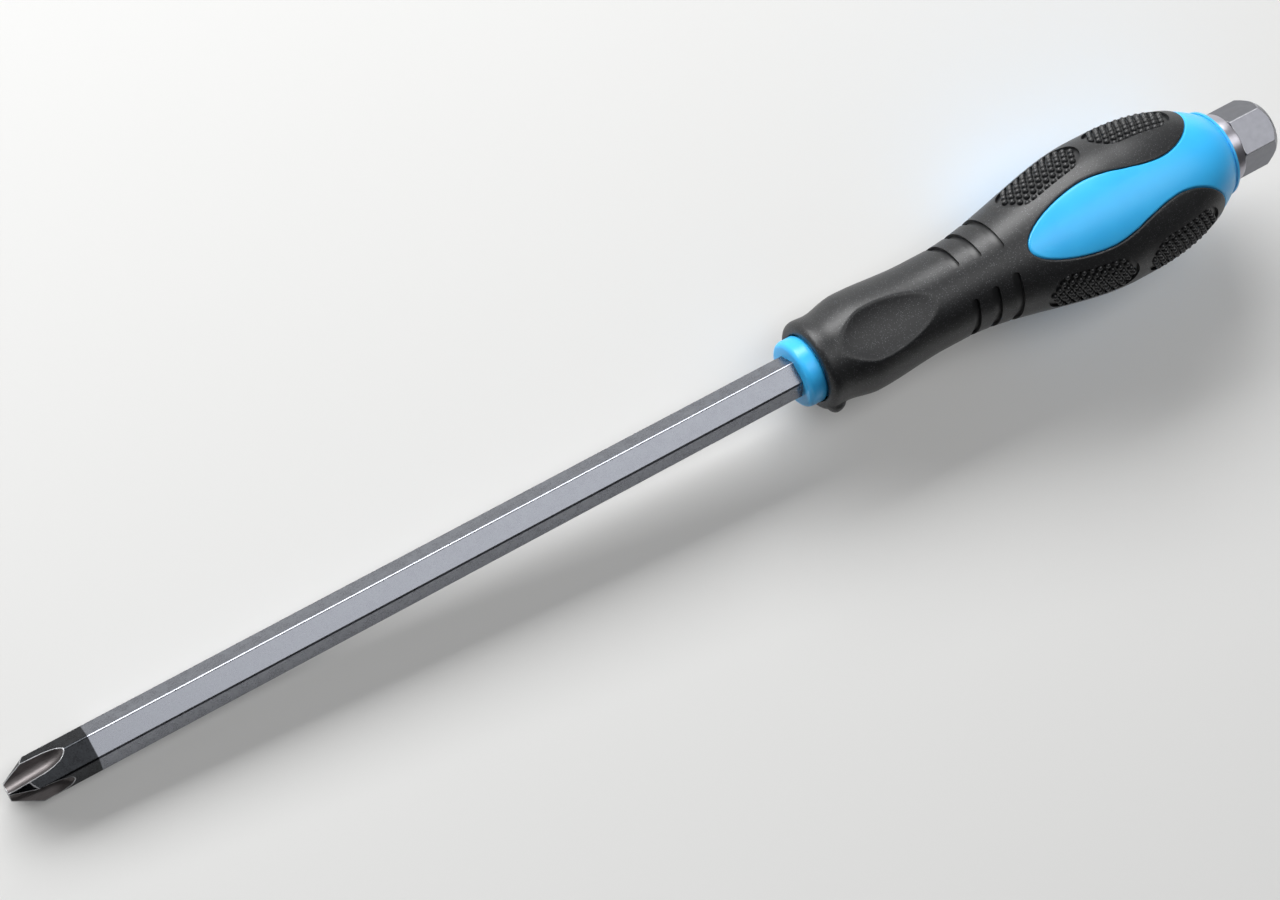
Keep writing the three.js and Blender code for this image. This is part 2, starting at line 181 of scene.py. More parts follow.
class Workpiece:
    """One mesh on the bench, and the hand tools that shape it."""

    def __init__(self, name: str) -> None:
        """Takes the primitive that was just added and names it.

        Args:
            name: The piece's name.
        """
        self.obj = bpy.context.object
        self.obj.name = name
        self.obj.data.name = name
        bpy.ops.object.transform_apply(location=True, rotation=True, scale=True)

    @staticmethod
    def clear_bench() -> None:
        """Deselects everything, so that a tool acts on the new piece alone."""
        bpy.ops.object.select_all(action="DESELECT")

    @classmethod
    def bar(cls, name: str, across_flats: float, front: float, rear: float) -> "Workpiece":
        """Adds a hexagonal bar along the tool, with corners on the Y axis.

        Args:
            name: The piece's name.
            across_flats: Its width across flats.
            front: Station of its front end.
            rear: Station of its rear end.

        Returns:
            The bar as a workpiece.
        """
        cls.clear_bench()
        bpy.ops.mesh.primitive_cylinder_add(
            vertices=6,
            radius=hex_corner(across_flats) * MM,
            depth=(rear - front) * MM,
            location=((front + rear) / 2 * MM, 0, 0),
            rotation=(0, math.pi / 2, 0),
        )
        return cls(name)

    @classmethod
    def turned(cls, name: str, outline: Outline, steps: int) -> "Workpiece":
        """Spins a closed outline round the tool's axis.

        Args:
            name: The piece's name.
            outline: Station and radius of each corner, in order.
            steps: Number of steps round the axis.

        Returns:
            The turned solid as a workpiece.
        """
        cls.clear_bench()
        bpy.ops.mesh.primitive_circle_add(vertices=len(outline), radius=MM)
        piece = cls(name)
        piece.points = np.array([(x, 0.0, r) for x, r in outline])
        with piece.editing():
            bpy.ops.mesh.spin(steps=steps, angle=2 * math.pi, center=(0, 0, 0), axis=(1, 0, 0))
        piece.close()
        return piece

    @property
    def mesh(self) -> bpy.types.Mesh:
        """The piece's mesh data."""
        return self.obj.data

    @property
    def points(self) -> Points:
        """The piece's points in millimetres.

        Returns:
            One row for each point.
        """
        flat = np.empty(3 * len(self.mesh.vertices))
        self.mesh.vertices.foreach_get("co", flat)
        return flat.reshape(-1, 3) / MM

    @points.setter
    def points(self, places: Points) -> None:
        """Moves every point to its new place in millimetres."""
        self.mesh.vertices.foreach_set("co", (places * MM).ravel())
        self.mesh.update()

    def take(self) -> None:
        """Selects this piece alone and makes it the active one."""
        self.clear_bench()
        self.obj.select_set(True)
        bpy.context.view_layer.objects.active = self.obj

    @contextmanager
    def editing(self) -> Iterator[None]:
        """Holds the piece in edit mode, with all of it selected, while a tool is used on it.

        Yields:
            Nothing.
        """
        self.take()
        bpy.ops.object.mode_set(mode="EDIT")
        bpy.ops.mesh.select_all(action="SELECT")
        try:
            yield
        finally:
            bpy.ops.object.mode_set(mode="OBJECT")

    def pick(self, kind: Element, wanted: Test) -> None:
        """Selects the edges or faces that pass a test, in edit mode.

        Args:
            kind: Edges or faces.
            wanted: The test.
        """
        bpy.ops.mesh.select_mode(type=kind.name)
        bpy.ops.mesh.select_all(action="DESELECT")
        bm = bmesh.from_edit_mesh(self.mesh)
        for element in getattr(bm, kind.value):
            element.select_set(wanted(element))
        bmesh.update_edit_mesh(self.mesh)

    def close(self) -> None:
        """Merges doubled points, drops loose edges and turns every face outwards."""
        with self.editing():
            bpy.ops.mesh.remove_doubles(threshold=MERGE)
            bpy.ops.mesh.delete_loose()
            bpy.ops.mesh.select_all(action="SELECT")
            bpy.ops.mesh.normals_make_consistent(inside=False)

    def round_long_edges(self, radius: float, segments: int) -> None:
        """Rounds the six long edges of a hexagonal bar.

        Args:
            radius: Radius of the rounding.
            segments: Number of faces across it.
        """
        offset = radius * math.tan(math.pi / 6) * MM
        with self.editing():
            self.pick(
                Element.EDGE, lambda e: abs((e.verts[0].co - e.verts[1].co).normalized().x) > ALONG
            )
            bpy.ops.mesh.bevel(offset=offset, segments=segments, affect="EDGES")

    def wear_and_highlight_edges(self, width: float, angle: float, finish: Material) -> None:
        """Bevels the piece's sharp edges and gives the bevels a finish of their own: a lighter
        steel, partly wear and partly painted highlight.

        Args:
            width: Width of the bevel on each side of an edge.
            angle: Angle between two faces, in degrees, from which their edge is sharp.
            finish: The bevels' finish.
        """
        self.mesh.materials.append(finish)
        number = len(self.mesh.materials) - 1
        with self.editing():
            bpy.ops.mesh.select_mode(type="EDGE")
            bpy.ops.mesh.select_all(action="SELECT")
            bpy.ops.mesh.remove_doubles(threshold=EDGE_BEVEL_MERGE)
            bpy.ops.mesh.select_all(action="DESELECT")
            bpy.ops.mesh.edges_select_sharp(sharpness=math.radians(angle))
            bpy.ops.mesh.bevel(offset=width * MM, segments=2, affect="EDGES", material=number)

    def combine(self, other: "Workpiece", how: Cut) -> None:
        """Cuts another solid into this one and takes it off the bench.

        Args:
            other: The second solid.
            how: What is done with it.
        """
        modifier = self.obj.modifiers.new(how.name, "BOOLEAN")
        modifier.operation = how.value
        modifier.solver = "EXACT"
        modifier.material_mode = "TRANSFER"
        modifier.object = other.obj
        self.apply(modifier)
        bpy.data.objects.remove(other.obj, do_unlink=True)

    def twin(self) -> "Workpiece":
        """Copies the piece with its own mesh.

        Returns:
            The copy.
        """
        self.take()
        bpy.ops.object.duplicate()
        return Workpiece(self.obj.name + "_twin")

    def repeat_round(self, count: int) -> None:
        """Repeats the piece evenly round the tool's axis, in the same mesh.

        Args:
            count: How many there are in all.
        """
        angle = 2 * math.pi * (count - 1) / count
        with self.editing():
            bpy.ops.mesh.spin(
                steps=count - 1, dupli=True, angle=angle, center=(0, 0, 0), axis=(1, 0, 0)
            )

    def face_outwards(self) -> None:
        """Turns an open skin's faces away from the tool's axis."""
        with self.editing():
            bm = bmesh.from_edit_mesh(self.mesh)
            if sum(f.normal.yz.dot(f.calc_center_median().yz) for f in bm.faces) < 0:
                bpy.ops.mesh.flip_normals()

    def apply(self, modifier: bpy.types.Modifier) -> None:
        """Makes a modifier's result the mesh itself."""
        self.take()
        bpy.ops.object.modifier_apply(modifier=modifier.name)

    def absorb(self, others: Sequence["Workpiece"]) -> None:
        """Joins other meshes into this one's object.

        Args:
            others: The pieces that are joined.
        """
        self.take()
        for other in others:
            other.obj.select_set(True)
        bpy.ops.object.join()

    def smooth(self, angle: float) -> None:
        """Shades the piece smooth, with edges sharper than `angle` degrees left crisp."""
        self.take()
        bpy.ops.object.shade_smooth_by_angle(angle=math.radians(angle))

    def flatten_flats(self) -> None:
        """Lets the large faces set the normals, so that flats stay flat up to their edges."""
        weighted = self.obj.modifiers.new("flats", "WEIGHTED_NORMAL")
        weighted.keep_sharp = True
        self.apply(weighted)

    def coat(self, material: Material) -> None:
        """Gives the whole piece one finish."""
        self.mesh.materials.clear()
        self.mesh.materials.append(material)

    def place(self, node: str, slot: str) -> None:
        """Gives the finished piece its place in the frame.

        Args:
            node: The CAD node that the piece stands for.
            slot: The record's material slot; not used.
        """
        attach(self.obj, "root")
        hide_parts(node)
        LOG.info("%s: %d faces, stands for %s", self.obj.name, len(self.mesh.polygons), node)


@dataclass(frozen=True)
class HandleOutline:
    """The turned outline that the sleeve and the windows share."""

    sleeve_front: float = 208.0
    lip_radius: float = 11.6
    lip_round: float = 1.8
    lip_back: float = 210.0
    waist_at: float = 213.2
    waist_radius: float = 11.4
    swell_at: float = 222.0
    swell_radius: float = 12.8
    neck_at: float = 242.0
    neck_radius: float = 11.7
    neck_end: float = 248.0
    belly_at: float = 296.0
    belly_end: float = 301.0
    belly_radius: float = 19.75
    rim_at: float = 332.6
    rim_radius: float = 10.2
    flatness: float = 0.06
    flat_from: float = 252.0
    flat_full: tuple[float, float] = (284.0, 310.0)

    def radius(self, x: Points) -> Points:
        """Radius of the handle's surface behind the lip's front edge.

        Args:
            x: Stations.

        Returns:
            The radius at each station.
        """
        x = np.asarray(x, dtype=float)
        climbs = (
            (self.lip_back, self.waist_at, self.waist_radius - self.lip_radius),
            (self.waist_at, self.swell_at, self.swell_radius - self.waist_radius),
            (self.swell_at, self.neck_at, self.neck_radius - self.swell_radius),
            (self.neck_end, self.belly_at, self.belly_radius - self.neck_radius),
        )
        height = self.lip_radius + sum(rise * ease((x - a) / (b - a)) for a, b, rise in climbs)
        slimness = self.rim_radius / self.belly_radius
        reach = (self.rim_at - self.belly_end) / math.sqrt(1 - slimness**2)
        fall = np.clip((x - self.belly_end) / reach, 0.0, 0.999)
        return np.where(x > self.belly_end, self.belly_radius * np.sqrt(1 - fall**2), height)

    def section(self, x: Points, turn: Points) -> Points:
        """How far the belly's section draws in, least in the middle of the lobes.

        Args:
            x: Stations.
            turn: Angles round the tool, in radians.

        Returns:
            The share of the round outline's radius that is left.
        """
        front, rear = self.flat_full
        x = np.asarray(x, dtype=float)
        fading = 1 - ease((x - rear) / (self.rim_at - rear))
        amount = ease((x - self.flat_from) / (front - self.flat_from)) * fading
        return 1 - self.flatness * amount * (1 + np.cos(REPEATS * turn)) / 2


@dataclass(frozen=True)
class WindowEdge:
    """The seam between a window and the sleeve round it."""

    front: float = 267.5
    widest_at: float = 286.0
    narrow_at: float = 308.5
    lobe_end: float = 324.2
    wide: float = 29.5
    narrow: float = 16.3
    lobe: float = SECTOR / 2
    level: float = 18.0  # the handle's mean radius along the seam
    steps: tuple[int, int, int] = (90, 60, 90)
    batch: int = 4000  # points measured at a time

    def half_angle(self, x: Points, grow: float = 0.0) -> Points:
        """Half the window's angle at each station.

        Args:
            x: Stations.
            grow: How far the window is opened, in millimetres.

        Returns:
            Angles in degrees, 0 in front of the window and 60 behind the lobes.
        """
        x = np.asarray(x, dtype=float)
        wider = math.degrees(grow / self.level)
        wide, narrow = self.wide + wider, self.narrow + wider
        nose = np.clip((self.widest_at - x) / (self.widest_at - self.front + grow), 0.0, 1.0)
        tail = np.clip((x - self.narrow_at) / (self.lobe_end - self.narrow_at - grow), 0.0, 1.0)
        share = ease((x - self.widest_at) / (self.narrow_at - self.widest_at))
        middle = wide + (narrow - wide) * share
        angle = np.where(x < self.widest_at, wide * np.sqrt(1 - nose**2), middle)
        behind = self.lobe - (self.lobe - narrow) * np.sqrt(1 - tail**2)
        return np.where(x > self.narrow_at, behind, angle)

    def stations(self, counts: tuple[int, int, int], grow: float = 0.0) -> list[float]:
        """Stations that step evenly along the seam.

        Args:
            counts: Steps along the nose, the middle and the lobe's end.
            grow: How far the window is opened, in millimetres.

        Returns:
            Stations from the window's front to the lobe's tip.
        """
        nose, middle, tail = counts
        quarter = math.pi / 2
        before = self.widest_at - self.front + grow
        after = self.lobe_end - self.narrow_at - grow
        ahead = [self.widest_at - before * math.cos(quarter * k / nose) for k in range(nose)]
        between = list(np.linspace(self.widest_at, self.narrow_at, middle + 1)[:-1])
        behind = [self.narrow_at + after * math.sin(quarter * k / tail) for k in range(tail + 1)]
        return ahead + between + behind

    def distance(self, x: Points, angle: Points, radius: Points) -> Points:
        """Distance of points from the seam.

        Args:
            x: Stations of the points.
            angle: Angles from the middle of the nearest window, in degrees.
            radius: Their radii.

        Returns:
            Millimetres along the surface, positive inside the window.
        """
        edge_x = np.array(self.stations(self.steps))
        edge_angle = self.half_angle(edge_x)
        away = np.empty(len(x))
        for start in range(0, len(x), self.batch):
            part = slice(start, start + self.batch)
            along = x[part, None] - edge_x[None, :]
            turned = np.radians(np.abs(angle[part, None]) - edge_angle[None, :])
            across = radius[part, None] * turned
            away[part] = np.sqrt((along**2 + across**2).min(axis=1))
        return np.where(np.abs(angle) < self.half_angle(x), away, -away)


@dataclass
class WrappedSkin:
    """A skin laid round the handle in three equal sectors, with a wall under it."""

    name: str
    stations: Outline
    half_angle: Callable[[Points], Points]
    middle: float
    columns: int
    wall: float
    crowding: float = 1.1  # how closely the columns crowd towards the seam

    def build(self) -> Workpiece:
        """Wraps one sector from a grid, repeats it, gives it its wall and refines its outside.

        Returns:
            The closed skin, with its inner points in the vertex group "inner".
        """
        Workpiece.clear_bench()
        rows = len(self.stations) - 1
        bpy.ops.mesh.primitive_grid_add(x_subdivisions=rows, y_subdivisions=self.columns, size=2)
        skin = Workpiece(self.name)
        flat = skin.points * MM
        row = np.rint((flat[:, 0] + 1) / 2 * rows).astype(int)
        x, r = np.array(self.stations)[row].T
        share = np.sin(self.crowding * flat[:, 1]) / math.sin(self.crowding)
        skin.points = round_tool(x, r, np.radians(self.middle + self.half_angle(x) * share))
        skin.repeat_round(REPEATS)
        with skin.editing():
            bpy.ops.mesh.remove_doubles(threshold=MERGE)
        skin.face_outwards()
        skin.obj.vertex_groups.new(name="inner")
        wall = skin.obj.modifiers.new("wall", "SOLIDIFY")
        wall.thickness = self.wall * MM
        wall.offset = -1.0
        wall.shell_vertex_group = "inner"
        skin.apply(wall)
        with skin.editing():
            inner = bmesh.from_edit_mesh(skin.mesh).verts.layers.deform.verify()
            skin.pick(Element.FACE, lambda f: all(0 not in v[inner] for v in f.verts))
            bpy.ops.mesh.subdivide(number_cuts=1)
        return skin

    @staticmethod
    def outside(skin: Workpiece) -> Points:
        """Numbers of the points on the skin's outside."""
        return np.array([v.index for v in skin.mesh.vertices if not v.groups])


@dataclass
class Blade:
    """The hexagonal bar with the cross point on its end."""

    across_flats: float = 9.5
    edge_round: float = 0.8
    rear: float = 342.5
    point_radius: float = 2.1
    point_cone: float = 28.0
    flutes: int = 4
    flute_turn: float = 30.0
    flute_root: float = 1.2
    root_round: float = 2.0
    flute_slope: float = 6.5
    flute_opening: float = 64.0
    flute_straight: float = 8.8
    flute_runout: float = 8.0
    runout_turn: float = 80.0
    wear_and_highlight_edge: float = 0.16
    wear_and_highlight_angle: float = 25.0
    overhang: float = 1.0  # keeps the ends of two solids from meeting in one plane
    crisp: float = 40.0

    def section(self) -> list[tuple[float, float]]:
        """A flute's section: a vee with a round root.

        Returns:
            Height above the root and half width of each corner.
        """
        half = math.radians(self.flute_opening / 2)
        tall = self.flute_runout / 2
        bend = np.linspace(half - math.pi / 2, math.pi / 2 - half, 21)
        r = self.root_round
        round_root = [(r - r * math.cos(t), r * math.sin(t)) for t in bend]
        height, across = round_root[-1]
        across += (tall - height) * math.tan(half)
        return [(tall, -across), *round_root, (tall, across)]

    def cutter(self, number: int) -> Workpiece:
        """One flute's cutter: it climbs straight from the point and then runs out on a round.

        Args:
            number: Which flute, counted round the tool.

        Returns:
            The cutter, turned to its place.
        """
        slope = math.radians(self.flute_slope)
        root = np.array([math.cos(slope), 0, math.sin(slope)])
        out = np.array([-math.sin(slope), 0, math.cos(slope)])
        side = np.array([0.0, 1.0, 0.0])
        start = np.array([0, 0, self.flute_root]) - self.flute_runout * root
        length = self.flute_runout + self.flute_straight / math.cos(slope)
        middle = start + length * root + self.flute_runout * out
        section = self.section()
        runout = math.radians(self.runout_turn)

        Workpiece.clear_bench()
        bpy.ops.mesh.primitive_circle_add(vertices=len(section), radius=MM, fill_type="NGON")
        flute = Workpiece("flute_cutter")
        flute.points = np.array([start + tall * out + across * side for tall, across in section])
        with flute.editing():
            bpy.ops.mesh.extrude_region_move(
                TRANSFORM_OT_translate={"value": tuple(length * root * MM)}
            )
            bpy.ops.mesh.spin(steps=24, angle=runout, center=tuple(middle * MM), axis=(0, 1, 0))
        flute.close()

        turn = math.radians(self.flute_turn + number * 360 / self.flutes)
        cos, sin = math.cos(turn), math.sin(turn)
        x, y, z = flute.points.T
        flute.points = np.stack([x, y * cos + z * sin, z * cos - y * sin], axis=1)
        return flute

    def build(self) -> None:
        """Makes the bar, grinds the point on it and dresses both."""
        bar = Workpiece.bar("blade_bar", self.across_flats, -self.overhang, self.rear)
        bar.round_long_edges(self.edge_round, 6)
        bar.coat(BladeSteel().material())
        ground = GroundSteel().material()
        wide = self.across_flats
        nose = (wide - self.point_radius) / math.tan(math.radians(self.point_cone))
        end = self.rear + self.overhang
        outline = [(0.0, 0.0), (0.0, self.point_radius), (nose, wide), (end, wide), (end, 0.0)]
        bar.combine(Workpiece.turned("cone", outline, PLAIN_STEPS), Cut.COMMON)
        for number in range(self.flutes):
            cutter = self.cutter(number)
            cutter.coat(ground)
            bar.combine(cutter, Cut.AWAY)
        # lighter bevels on the sharp edges: partly rubbed wear, partly painted highlights
        bar.wear_and_highlight_edges(self.wear_and_highlight_edge, self.wear_and_highlight_angle, WearAndHighlightSteel().material())
        bar.points = np.maximum(bar.points, (0.0, -np.inf, -np.inf))
        bar.smooth(self.crisp)
        bar.flatten_flats()
        bar.place("blade", "blade_steel")


@dataclass
class HandleCore:
    """The blue core: the collar in front, the three windows and the rear dome."""

    outline: HandleOutline = field(default_factory=HandleOutline)
    edge: WindowEdge = field(default_factory=WindowEdge)
    collar_front: float = 203.6
    collar_radius: float = 8.6
    collar_round: float = 1.5
    collar_rear_round: float = 0.3
    collar_step: float = 0.2
    bore: float = 4.6
    body_depth: float = 3.4  # of the hidden core below the handle's surface
    body_rear: float = 331.0
    sink: float = 0.25
    tuck: float = 0.9
    seam_depth: float = 0.75
    seam_out: float = 0.35
    seam_round: float = 0.9
    dome_from: float = 1.0  # behind the lobes' tips
    wall: float = 2.2
    columns: int = 36
    steps: tuple[int, int, int] = (18, 16, 14)
    ridge_at: float = 330.9
    ridge_height: float = 0.06
    ridge_back: Outline = ((0.14, 0.0), (0.3, -0.2))
    rim: Outline = ((332.1, 10.36), (332.4, 10.1), (332.55, 9.85), (332.6, 9.65), (332.5, 9.5))
    rim_end: float = 332.2
    seat_radius: float = 9.4
    seat_front: float = 331.2
    crisp: float = 40.0

    def body(self) -> Workpiece:
        """Turns the collar and the hidden core behind it.

        Returns:
            The closed body.
        """
        rear, turn = self.outline.sleeve_front, self.collar_round
        shoulder = self.collar_radius - self.collar_rear_round
        hidden = np.linspace(self.outline.neck_end, self.body_rear, 12)
        outline = [(self.collar_front, self.bore)]
        outline += arc((self.collar_front + turn, self.collar_radius - turn), turn, 180, 90, 8)
        outline += arc(
            (rear - self.collar_rear_round, shoulder), self.collar_rear_round, 90, 0, 5
        )[:-1]
        outline += [(rear, shoulder - self.collar_step)]
        outline += [(x, float(self.outline.radius(x)) - self.body_depth) for x in hidden]
        outline += [(self.body_rear, self.bore)]
        return Workpiece.turned("core_body", outline, PLAIN_STEPS)

    def profile(self) -> Outline:
        """The line along the windows and the dome, to the seat of the ring.

        Returns:
            Station and radius of each point.
        """
        along = self.edge.stations(self.steps, self.tuck)
        along += list(np.linspace(along[-1], self.ridge_at, 8)[1:])
        line = [(x, float(self.outline.radius(x)) - self.sink) for x in along]
        x, r = line[-1]
        line[-1] = (x, r + self.ridge_height)
        line += [(x + back, r + rise) for back, rise in self.ridge_back]
        seat = [(self.rim_end, self.seat_radius), (self.seat_front, self.seat_radius)]
        return [*line, *self.rim, *seat]

    def build(self) -> None:
        """Lays the windows and the dome, joins them to the core and dresses it."""
        maker = WrappedSkin(
            "handle_core_blue",
            self.profile(),
            lambda x: self.edge.half_angle(x, self.tuck),
            0.0,
            self.columns,
            self.wall,
        )
        skin = maker.build()
        outside = maker.outside(skin)
        places = skin.points
        x, y, z = places[outside].T
        turn = np.arctan2(y, z)
        level = self.outline.radius(x) - self.sink
        inside = self.edge.distance(x, from_window(turn), level)
        lower = self.seam_depth * (1 - ease((inside + self.seam_out) / self.seam_round))
        on_dome = x > self.edge.lobe_end + self.dome_from
        r = np.where(on_dome, np.hypot(y, z), level - lower) * self.outline.section(x, turn)
        places[outside] = round_tool(x, r, turn)
        skin.points = places
        skin.absorb([self.body()])
        skin.smooth(self.crisp)
        skin.coat(BluePlastic().material())
        skin.place("handle_core", "blue_plastic")


@dataclass
class SoftGrip:
    """The black sleeve with its lip, roll stop, thumb dimples, grooves and dotted pads."""

    outline: HandleOutline = field(default_factory=HandleOutline)
    edge: WindowEdge = field(default_factory=WindowEdge)
    bore: float = 8.75
    bore_edge: Outline = ((1.2, 0.0), (0.3, 0.0), (0.06, 0.2), (0.0, 0.5))
    lip_margin: float = 0.05
    wall: float = 1.6
    columns: int = 40
    steps: tuple[int, int, int] = (20, 20, 16)
    edge_round: float = 0.45
    seam_gap: float = 0.06
    stop_height: float = 1.2
    stop_length: float = 4.6
    stop_width: float = 5.0
    dimple_at: float = 226.5
    dimple_floor: float = 9.9
    dimple_size: tuple[float, float, float] = (19.5, 12.2, 6.0)
    dimple_round: float = 0.35
    least_wall: float = 0.5
    pad_depth: float = 0.75
    cutter_height: float = 2.25
    groove_depth: float = 0.85
    groove_front: float = 250.1
    groove_pitch: float = 5.95
    groove_width: float = 2.1
    groove_angles: tuple[float, ...] = (38.5, 42.0, 46.0)
    pads: tuple[tuple[float, float], ...] = ((269.5, 293.5), (297.0, 320.6))
    pad_width: float = 12.6
    dot_rows: tuple[int, ...] = (8, 9, 10, 11, 10, 9, 8)
    dot_margin: float = 1.5
    dot_row_step: float = 1.82
    dot_radius: float = 0.84
    dot_height: float = 0.99
    dot_foot: float = 0.45
    dot_feelers: Outline = ((0, 0), (0.5, 0), (0, 0.03))  # along in mm and round in radians
    crisp: float = 50.0
    dot_crisp: float = 60.0

    def profile(self) -> Outline:
        """The line along the sleeve, from its bore round the lip to the lobes' tips.

        Returns:
            Station and radius of each point.
        """
        front, turn = self.outline.sleeve_front, self.outline.lip_round
        line = [(front + back, self.bore + rise) for back, rise in self.bore_edge]
        line += arc((front + turn, self.outline.lip_radius - turn), turn, 180, 90, 7)
        along = list(np.linspace(front + turn, self.outline.waist_at, 6)[1:])
        seam = self.edge.front - self.seam_gap
        along += list(np.linspace(self.outline.waist_at, seam, 52)[1:-1])
        along += self.edge.stations(self.steps, self.seam_gap)
        return line + [(x, float(self.outline.radius(x))) for x in along]

    def dimple(self, x: Points, angle: Points) -> Points:
        """Radius at which a ray from the axis meets the egg that presses a thumb dimple.

        Args:
            x: Stations.
            angle: Angles from the middle of the nearest dimple, in radians.

        Returns:
            The egg's near side, and a large radius where the ray misses it.
        """
        long, wide, tall = self.dimple_size
        middle = self.dimple_floor + tall
        room = 1 - ((x - self.dimple_at) / long) ** 2
        a = (np.sin(angle) / wide) ** 2 + (np.cos(angle) / tall) ** 2
        b = middle * np.cos(angle) / tall**2
        c = (middle / tall) ** 2 - room
        inner = b * b - a * c
        near = (b - np.sqrt(np.maximum(inner, 0.0))) / a
        return np.where((inner > 0) & (np.cos(angle) > 0), near, MISS)

    def floor(self, x: Points, turn: Points, depth: float) -> Points:
        """Points on the floor of a pad or a groove.

        Args:
            x: Stations.
            turn: Angles round the tool, in radians.
            depth: How far the floor lies below the sleeve's surface.

        Returns:
            The points, one row each.
        """
        x, turn = np.broadcast_arrays(np.asarray(x, dtype=float), turn)
        return round_tool(x, self.outline.radius(x) * self.outline.section(x, turn) - depth, turn)

    def slot(self, long: float, wide: float) -> tuple[Workpiece, Points, Points]:
        """Adds a flat slot with round ends, as a grid.

        Args:
            long: Length of the slot.
            wide: Its width.

        Returns:
            The slot, and how far each of its points lies along it and across it.
        """
        Workpiece.clear_bench()
        bpy.ops.mesh.primitive_grid_add(x_subdivisions=40, y_subdivisions=14, size=2)
        slot = Workpiece("pocket_cutter")
        u, v, _ = (slot.points * MM).T
        swing = math.pi / 2 * v
        along = u * ((long - wide) / 2 + wide / 2 * np.cos(swing))
        return slot, along, wide / 2 * np.sin(swing)

    def pockets(self) -> Workpiece:
        """The cutters of all pads and grooves: slots laid on their floors and thickened outwards.

        Returns:
            The cutters as one workpiece.
        """
        lobe = math.pi / REPEATS
        cutters = []
        for front, rear in self.pads:
            slot, along, across = self.slot(rear - front, self.pad_width)
            x = (front + rear) / 2 + along
            slot.points = self.floor(x, lobe + across / self.outline.radius(x), self.pad_depth)
            cutters.append(slot)
        for number, angle in enumerate(self.groove_angles):
            middle = self.groove_front + number * self.groove_pitch
            level = float(self.outline.radius(middle))
            slot, along, across = self.slot(2 * math.radians(angle) * level, self.groove_width)
            slot.points = self.floor(middle + across, lobe + along / level, self.groove_depth)
            cutters.append(slot)
        for slot in cutters:
            slot.face_outwards()
        whole = cutters[0]
        whole.absorb(cutters[1:])
        whole.repeat_round(REPEATS)
        thick = whole.obj.modifiers.new("thick", "SOLIDIFY")
        thick.thickness = self.cutter_height * MM
        thick.offset = 1.0
        whole.apply(thick)
        whole.close()
        return whole

    def stop(self, x: Points, y: Points, z: Points) -> Points:
        """How far the roll stop lifts the lip, on the -Y side.

        Args:
            x: Stations of the points.
            y: Their places across the tool.
            z: Their heights.

        Returns:
            The lift of each point.
        """
        half = self.stop_length / 2
        along = (x - self.outline.sleeve_front - half) / half
        room = np.where(y < 0, 1 - along**2 - (z / (self.stop_width / 2)) ** 2, 0.0)
        low = self.outline.lip_radius - self.outline.lip_round
        share = np.clip((np.hypot(y, z) - low) / self.outline.lip_round, 0.0, 1.0)
        return self.stop_height * np.sqrt(np.maximum(room, 0.0)) * share

    def surface(self, x: Points, turn: Points) -> Points:
        """Radius of the sleeve's outside behind the lip, with its dimples and rounded edges.

        Args:
            x: Stations.
            turn: Angles round the tool, in radians.

        Returns:
            The radius at each point.
        """
        angle = from_window(turn)
        level = self.outline.radius(x)
        r = blend_low(level, self.dimple(x, np.radians(angle)), self.dimple_round)
        edge = np.clip(-self.edge.distance(x, angle, level) / self.edge_round, 0.0, 1.0)
        r = r - self.edge_round * (1 - np.sqrt(1 - (1 - edge) ** 2))
        return r * self.outline.section(x, turn)

    def shape(self, skin: Workpiece, outside: Points) -> None:
        """Presses the sleeve's relief into its outside and keeps its inside clear of it.

        Args:
            skin: The plain sleeve.
            outside: Numbers of the points on its outside.
        """
        x, y, z = skin.points.T
        turn, plain = np.arctan2(y, z), np.hypot(y, z)
        lip_end = self.outline.sleeve_front + self.outline.lip_round + self.lip_margin
        relief = np.where(x > lip_end, self.surface(x, turn), plain)
        out = np.zeros(len(x), dtype=bool)
        out[outside] = True
        lifted = relief + self.stop(x, relief * np.sin(turn), relief * np.cos(turn))
        under = np.where(x > lip_end, np.minimum(plain, relief - self.least_wall), plain)
        skin.points = round_tool(x, np.where(out, lifted, under), turn)

    def dot_places(self) -> list[tuple[float, float]]:
        """Places of the dots on one lobe.

        Returns:
            Station of every dot, and its angle from the lobe's middle in degrees.
        """
        places = []
        for front, rear in self.pads:
            pitch = (rear - front - 2 * self.dot_margin) / (max(self.dot_rows) - 1)
            for row, count in enumerate(self.dot_rows):
                across = (row - (len(self.dot_rows) - 1) / 2) * self.dot_row_step
                for step in range(count):
                    x = (front + rear) / 2 + (step - (count - 1) / 2) * pitch
                    places.append((x, math.degrees(across / float(self.outline.radius(x)))))
        return places

    def dots(self) -> Workpiece:
        """Sets a small dome on every place of one lobe and repeats them on the others.

        Returns:
            All dots as one workpiece.
        """
        Workpiece.clear_bench()
        bpy.ops.mesh.primitive_uv_sphere_add(
            segments=12, ring_count=8, radius=self.dot_radius * MM
        )
        first = Workpiece("grip_dots")
        foot = (0.0, 0.0, -self.dot_foot * self.dot_radius * MM)
        with first.editing():
            bpy.ops.mesh.bisect(plane_co=foot, plane_no=(0, 0, 1), clear_inner=True, use_fill=True)
        dome = first.points * (1, 1, self.dot_height / self.dot_radius)
        places = self.dot_places()
        copies = [first] + [first.twin() for _ in places[1:]]
        for dot, (x, angle) in zip(copies, places):
            turn = math.pi / REPEATS + math.radians(angle)
            middle, ahead, beside = (
                self.floor(x + step, turn + swing, self.pad_depth)
                for step, swing in self.dot_feelers
            )
            along = (ahead - middle) / np.linalg.norm(ahead - middle)
            up = np.cross(along, beside - middle)
            up /= np.linalg.norm(up)
            dot.points = middle + dome @ np.stack([along, np.cross(up, along), up])
        first.absorb(copies[1:])
        first.repeat_round(REPEATS)
        return first

